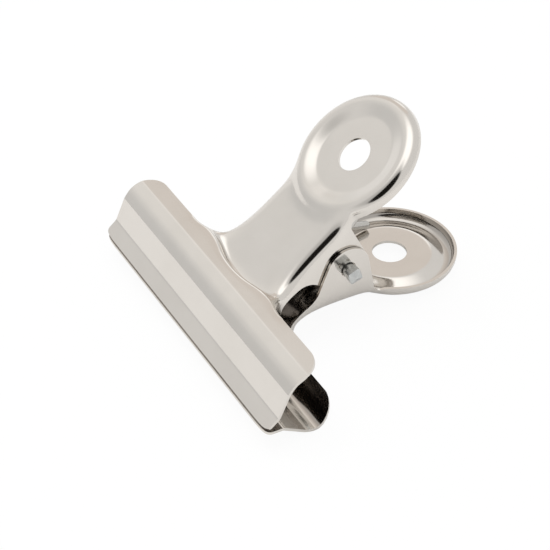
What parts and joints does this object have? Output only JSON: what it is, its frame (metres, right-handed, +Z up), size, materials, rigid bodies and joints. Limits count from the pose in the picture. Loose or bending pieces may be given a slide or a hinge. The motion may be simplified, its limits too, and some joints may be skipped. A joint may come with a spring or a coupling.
{
  "type": "bulldog clip",
  "caption": "Sprung paper clip of pressed sheet steel: wide rolled jaws on a pin and torsion spring, opened by squeezing round finger discs with hanging holes.",
  "frame": {"origin": "on the surface that the clip lies on, under the middle of its box, with the clip lying shut on its back plate", "axes": "+X along the pin and the jaw, +Y from the jaw towards the finger discs, +Z up, out of the front plate's side"},
  "size_m": [0.06, 0.0534, 0.0328],
  "materials": {
    "nickelled_sheet": "satin to bright nickel plate on pressed sheet steel",
    "zinc_plated_wire": "bright zinc plate on steel wire",
    "spring_wire": "drawn spring wire, lightly oiled"
  },
  "bodies": {
    "back": {"back_plate": "nickelled_sheet", "pivot_pin": "zinc_plated_wire", "torsion_spring": "spring_wire"},
    "front": {"front_plate": "nickelled_sheet"}
  },
  "joints": [
    {"name": "jaw_hinge", "type": "hinge", "parent": "back", "child": "front", "pos_m": [0, 0.00079, 0.01126], "axis": [-1, 0, 0], "range_deg": [0, 63], "stiffness_Nm_per_rad": 0.43, "springref_deg": -5.73, "deforming": ["torsion_spring"]}
  ]
}
